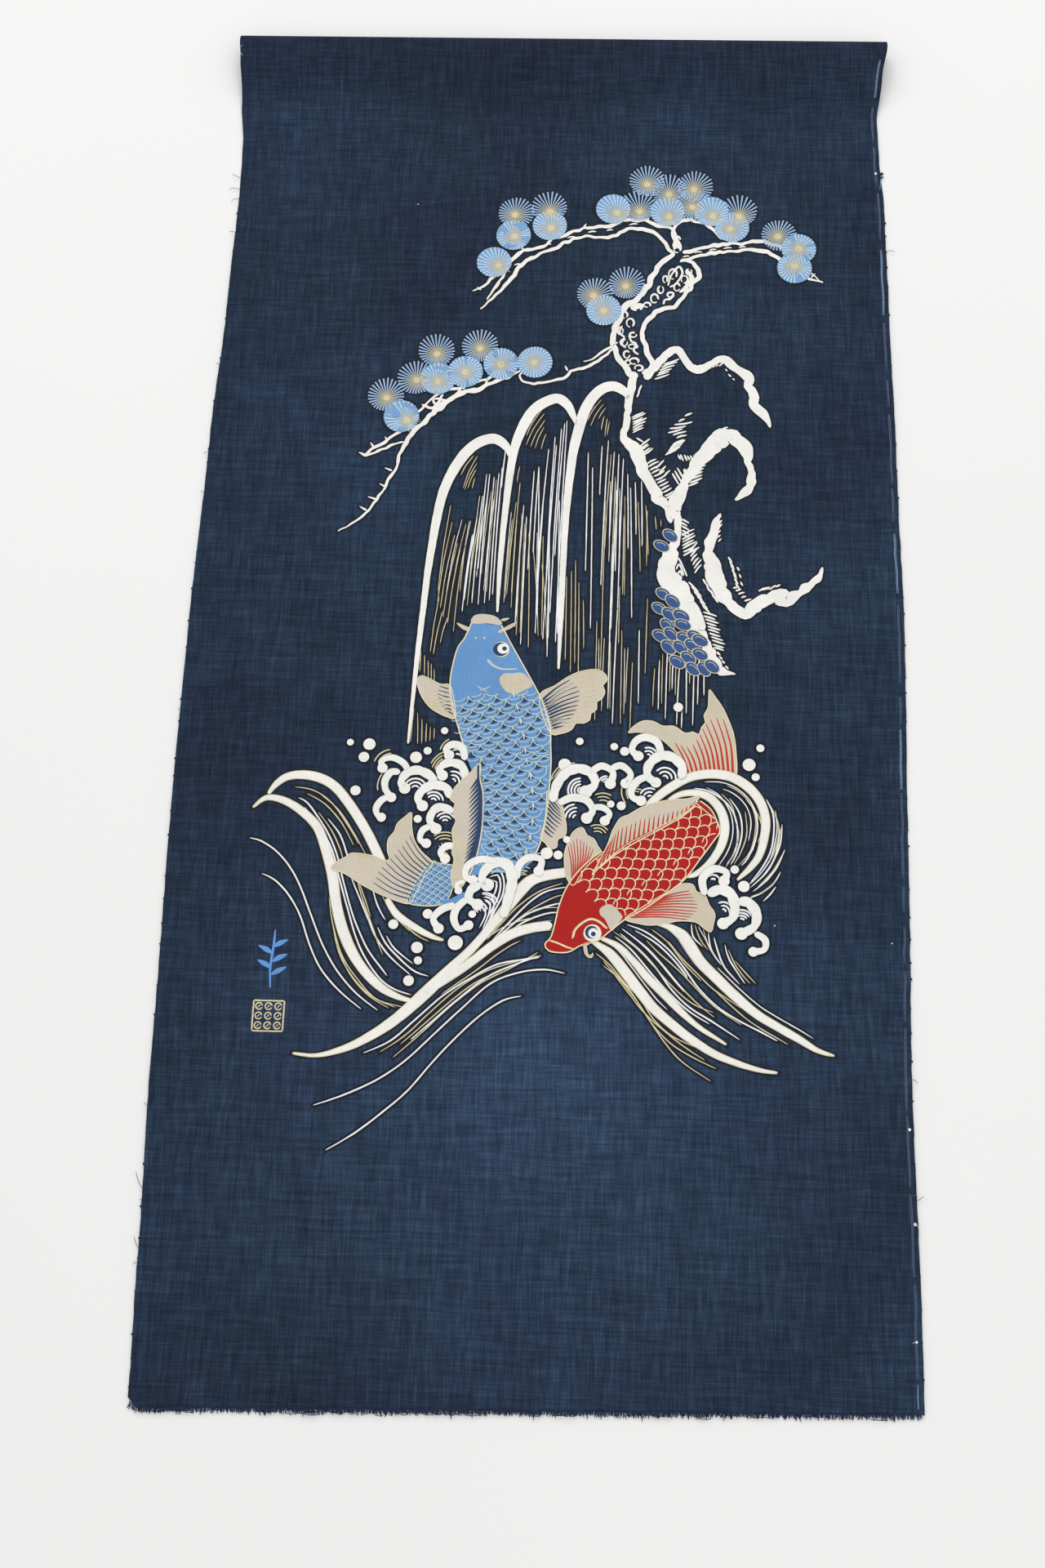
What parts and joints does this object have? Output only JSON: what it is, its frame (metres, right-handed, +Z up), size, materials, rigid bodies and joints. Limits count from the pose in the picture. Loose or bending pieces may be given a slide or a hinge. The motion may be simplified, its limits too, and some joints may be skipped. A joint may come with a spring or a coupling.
{
  "type": "printed cotton panel",
  "caption": "Cut length of indigo slub cotton printed with carp, waterfall, waves, pine and rock, lying flat with its upper end turned under in a soft fold.",
  "frame": {"origin": "on the surface the panel lies on, midway between its long edges and midway between the fold and the fringe tips", "axes": "+X across the cloth to the tracer-yarn edge, +Y along the cloth to the fold, +Z up out of the printed face"},
  "size_m": [0.466, 0.926, 0.016],
  "materials": {
    "indigo_cotton": "plain-weave slub cotton, matt",
    "indigo_yarn": "single cotton yarn, matt",
    "pale_yarn": "faded blue yarn, matt",
    "white_yarn": "undyed cotton knot, matt",
    "navy_print": "dark pigment print, matt",
    "white_print": "white pigment print, matt",
    "gold_print": "gold pigment print, soft sheen",
    "pale_blue_print": "pale-blue pigment print, matt",
    "deep_blue_print": "blue pigment print, matt",
    "carp_blue_print": "sky-blue pigment print, matt",
    "carp_red_print": "red pigment print, matt",
    "beige_print": "beige pigment print, matt"
  },
  "bodies": {
    "panel": {"main_cloth": "indigo_cotton", "raised_end": "indigo_cotton", "fold_top": "indigo_cotton", "bottom_fringe": "indigo_yarn", "left_edge_ends": "indigo_yarn", "right_edge_ends": "indigo_yarn", "tracer_yarn": "pale_yarn", "slub_knots": "white_yarn", "ground_print": "navy_print", "waterfall_arches": "white_print", "waterfall_white_lines": "white_print", "waterfall_gold_lines": "gold_print", "wave_bands": "white_print", "wave_white_lines": "white_print", "wave_gold_lines": "gold_print", "foam_curls": "white_print", "spray_drops": "white_print", "pine_branches": "white_print", "pine_fans": "pale_blue_print", "pine_centres": "gold_print", "rock_outline": "white_print", "rock_hatching": "white_print", "moss_stones": "deep_blue_print", "moss_outlines": "gold_print", "blue_carp_body": "carp_blue_print", "blue_carp_scales": "pale_blue_print", "blue_carp_fins": "beige_print", "red_carp_body": "carp_red_print", "red_carp_scales": "gold_print", "red_carp_fins": "beige_print", "carp_eyes": "white_print", "corner_sprig": "carp_blue_print", "corner_square": "gold_print"},
    "turned_end": {"fold_bottom": "indigo_cotton", "turned_under_end": "indigo_cotton"}
  },
  "joints": [
    {"name": "fold_opening", "type": "hinge", "parent": "panel", "child": "turned_end", "pos_m": [0, 0.463, 0.008], "axis": [1, 0, 0], "range_deg": [0, 180]}
  ]
}
